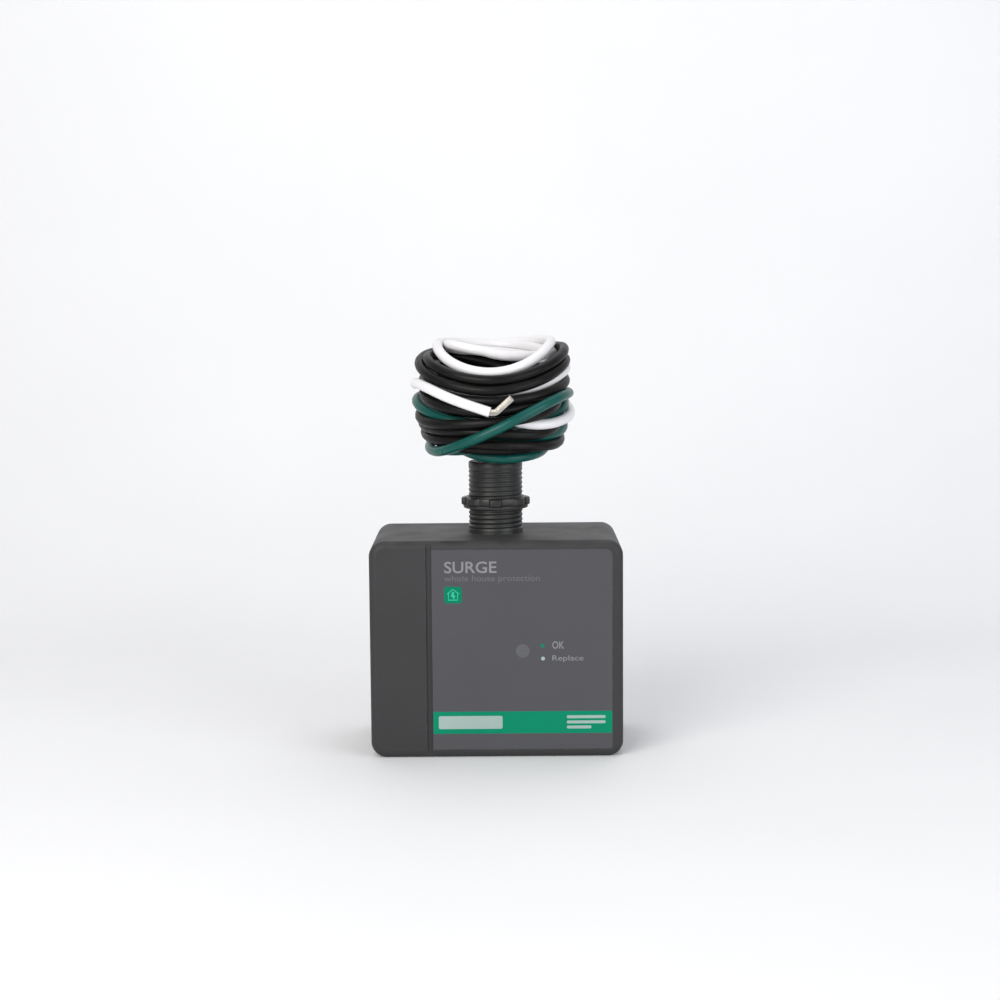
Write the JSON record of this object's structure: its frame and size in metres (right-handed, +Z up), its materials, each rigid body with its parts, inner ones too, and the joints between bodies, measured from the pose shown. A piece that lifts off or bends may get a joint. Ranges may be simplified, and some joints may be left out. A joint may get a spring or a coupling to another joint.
{
  "type": "whole house surge protector",
  "caption": "Hard-wired surge protector: black moulded case with a printed front label, threaded conduit nipple with locknut on top, and coiled lead wires.",
  "frame": {"origin": "middle of the bottom face of the case, at the base of the object", "axes": "+Z up along the conduit nipple, -Y towards the printed front, +X to the right seen from the front"},
  "size_m": [0.098, 0.0685, 0.1591],
  "materials": {
    "case_plastic": "fine textured black polycarbonate",
    "nipple_plastic": "moulded black thread, slightly glossy",
    "label_film": "satin grey printed polyester film with a green band",
    "rating_film": "plain satin polyester film",
    "clear_acrylic": "frosted clear acrylic",
    "led_resin": "green tinted epoxy",
    "board_laminate": "glass epoxy board with green solder mask",
    "varistor_epoxy": "dipped blue epoxy",
    "fuse_ceramic": "unglazed ceramic",
    "capacitor_box": "moulded yellow box",
    "resistor_body": "lacquered film resistor",
    "black_epoxy": "moulded epoxy",
    "fuse_brass": "nickel plated",
    "tinned_copper": "dull tin plate over copper",
    "fibre_sheet": "pressed fibre insulation",
    "plate_steel": "zinc plated",
    "screw_steel": "zinc plated",
    "locknut_metal": "black zinc plate on stamped steel",
    "black_rubber": "moulded rubber",
    "black_insulation": "nylon jacketed wire insulation, satin gloss",
    "white_insulation": "nylon jacketed wire insulation, satin gloss",
    "green_insulation": "nylon jacketed wire insulation, satin gloss"
  },
  "bodies": {
    "case": {"rear_housing": "case_plastic", "front_cover": "case_plastic", "cover_gasket": "black_rubber", "case_screws": "screw_steel", "front_label": "label_film", "rear_label": "rating_film", "light_pipe": "clear_acrylic", "status_led": "led_resin", "circuit_board": "board_laminate", "board_screws": "screw_steel", "varistor_l1_n": "varistor_epoxy", "varistor_l2_n": "varistor_epoxy", "varistor_l1_g": "varistor_epoxy", "varistor_n_g": "varistor_epoxy", "varistor_l2_g": "varistor_epoxy", "varistor_legs": "tinned_copper", "thermal_fuses": "fuse_ceramic", "film_capacitor": "capacitor_box", "resistors": "resistor_body", "diodes": "black_epoxy", "line_fuses": "fuse_ceramic", "fuse_caps": "fuse_brass", "fuse_clips": "fuse_brass", "terminal_lugs": "tinned_copper", "insulating_sheet": "fibre_sheet", "threaded_nipple": "nipple_plastic", "nipple_gasket": "black_rubber", "retaining_plate": "plate_steel", "plate_screws": "screw_steel", "wire_seal": "black_rubber", "black_lead_a": "black_insulation", "black_lead_b": "black_insulation", "white_lead": "white_insulation", "green_lead": "green_insulation", "black_lead_a_inner": "black_insulation", "black_lead_b_inner": "black_insulation", "white_lead_inner": "white_insulation", "green_lead_inner": "green_insulation", "wire_coil": "black_insulation", "bare_ends": "tinned_copper"},
    "washer": {"sealing_washer": "black_rubber"},
    "nut": {"locknut": "locknut_metal"}
  },
  "joints": [
    {"name": "washer_slide", "type": "slide", "parent": "case", "child": "washer", "axis": [0, 0, 1], "range_m": [-0.0095, 0.0089]},
    {"name": "locknut_spin", "type": "hinge", "parent": "washer", "child": "nut", "pos_m": [0, 0, 0.0973], "axis": [0, 0, 1], "range_deg": [-1900, 1800]}
  ],
  "couplings": [
    {"joint": "locknut_spin", "follows": "washer_slide", "rad_per_m": 3463.2}
  ]
}
